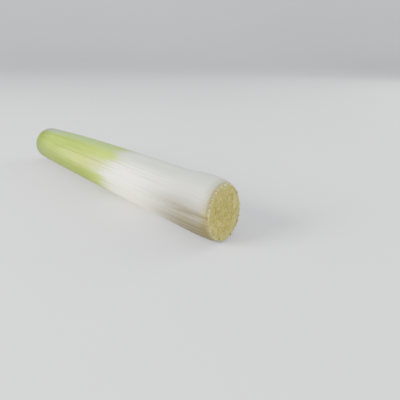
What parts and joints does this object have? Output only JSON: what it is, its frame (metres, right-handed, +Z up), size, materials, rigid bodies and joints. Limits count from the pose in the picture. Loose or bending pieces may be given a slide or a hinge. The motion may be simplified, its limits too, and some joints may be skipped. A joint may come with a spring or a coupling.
{
  "type": "leek",
  "caption": "Trimmed leek shaft lying on its side: ribbed white skin turning green, nested leaf sheaths at the top cut, tan root plate with root stubs at the other end.",
  "frame": {"origin": "on the surface the leek lies on, under the middle of its box", "axes": "+Z up, +X along the shaft towards the root end, +Y across it"},
  "size_m": [0.2598, 0.0398, 0.0394],
  "materials": {
    "leek_skin": "satin, waxy, finely ribbed; white at the root end and yellow green at the other",
    "inner_leaf": "moist satin, pale green, paler on the cut edge",
    "heart_leaf": "moist satin, yellow",
    "root_plate": "matt, mottled tan, fibrous, with cut root stubs"
  },
  "bodies": {
    "root": {"root_plate": "root_plate", "sheath_1": "leek_skin", "sheath_2": "inner_leaf", "sheath_3": "inner_leaf", "sheath_4": "inner_leaf", "sheath_5": "inner_leaf", "sheath_6": "inner_leaf", "sheath_7": "inner_leaf", "sheath_8": "inner_leaf", "heart_leaf": "heart_leaf"}
  },
  "joints": []
}
